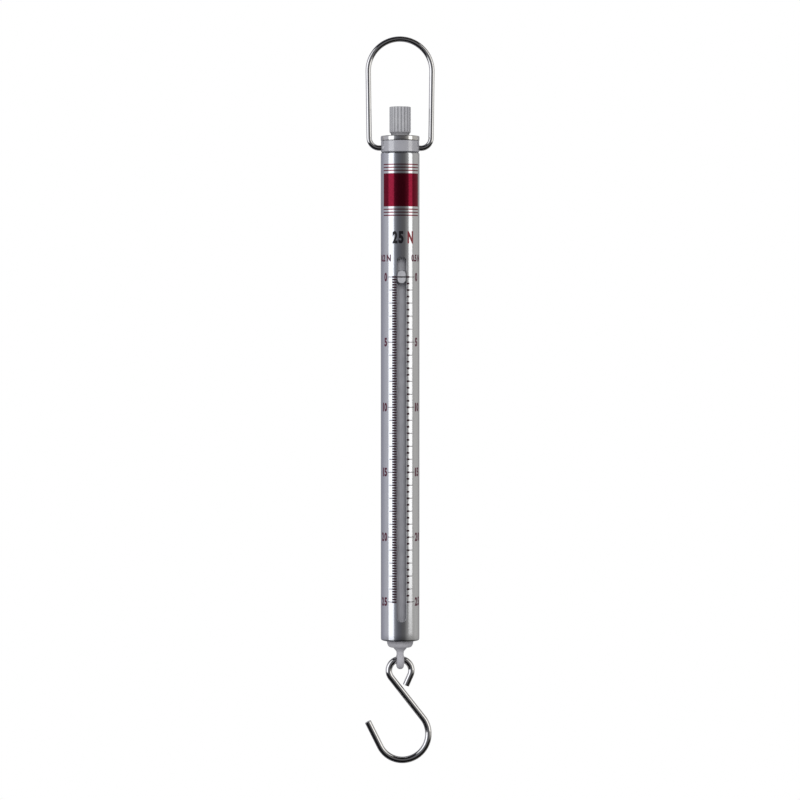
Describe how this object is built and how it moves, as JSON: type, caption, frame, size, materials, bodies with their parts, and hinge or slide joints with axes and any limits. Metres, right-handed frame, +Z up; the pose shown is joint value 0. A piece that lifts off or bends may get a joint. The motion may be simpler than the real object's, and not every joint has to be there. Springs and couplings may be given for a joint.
{
  "type": "hanging spring scale",
  "caption": "Tubular hanging spring scale: wire bail, swivel head, tare knob, slotted metal tube with a sliding pointer, pull rod and S-shaped load hook.",
  "frame": {"origin": "inside top of the wire bail, where a peg, stand or finger holds the scale", "axes": "+Z up along the tube; +X to the right; the slotted, graduated front of the tube faces -Y; the bail and the hook lie in the XZ plane"},
  "size_m": [0.0289, 0.0163, 0.3011],
  "materials": {
    "steel_wire": "polished stainless wire",
    "cap_metal": "turned and polished",
    "tube_metal": "bright anodised, fine lengthwise grain, printed scales",
    "grey_plastic": "light grey moulded plastic",
    "pointer_plastic": "pale grey moulded plastic",
    "black_mark": "black filled line",
    "scale_print": "dark red screen-printed ink",
    "red_panel": "glossy transparent red lacquer over the metal",
    "white_nylon": "natural nylon",
    "brass": "turned brass",
    "dark_steel": "plain steel",
    "spring_steel": "drawn spring wire"
  },
  "bodies": {
    "bail": {"bail": "steel_wire"},
    "swivel_ring": {"swivel_ring": "grey_plastic"},
    "tube_body": {"head_cap": "cap_metal", "thrust_washer": "white_nylon", "tube_plug": "cap_metal", "plug_screw": "dark_steel", "scale_tube": "tube_metal", "end_bush": "grey_plastic"},
    "tare_knob": {"tare_knob": "grey_plastic", "knob_insert": "brass"},
    "tare_spindle": {"tare_spindle": "dark_steel", "key_pin": "dark_steel", "spring_top_anchor": "brass", "main_spring": "spring_steel"},
    "pull_rod": {"spring_bottom_anchor": "brass", "guide_piston": "white_nylon", "pull_rod": "grey_plastic", "pointer_button": "pointer_plastic", "pointer_line": "black_mark", "rod_eye": "grey_plastic"},
    "hook": {"hook": "steel_wire"}
  },
  "joints": [
    {"name": "bail_swing", "type": "hinge", "parent": "bail", "child": "swivel_ring", "pos_m": [0, 0, -0.0438], "axis": [1, 0, 0], "range_deg": [-165, 165]},
    {"name": "tube_swivel", "type": "hinge", "parent": "swivel_ring", "child": "tube_body", "pos_m": [0, 0, -0.04315], "axis": [0, 0, 1], "continuous": true},
    {"name": "tare_turn", "type": "hinge", "parent": "tube_body", "child": "tare_knob", "pos_m": [0, 0, -0.0388], "axis": [0, 0, 1], "range_deg": [-1545, 1545]},
    {"name": "tare_slide", "type": "slide", "parent": "tube_body", "child": "tare_spindle", "axis": [0, 0, 1], "range_m": [-0.003, 0.003]},
    {"name": "rod_pull", "type": "slide", "parent": "tare_spindle", "child": "pull_rod", "axis": [0, 0, -1], "range_m": [0, 0.136], "stiffness_N_per_m": 186.6, "springref_m": -0.002, "deforming": ["main_spring"]},
    {"name": "hook_swing", "type": "hinge", "parent": "pull_rod", "child": "hook", "pos_m": [0, 0, -0.25555], "axis": [1, 0, 0], "range_deg": [-90, 90]}
  ],
  "couplings": [
    {"joint": "tare_turn", "follows": "tare_slide", "rad_per_m": -8976}
  ]
}
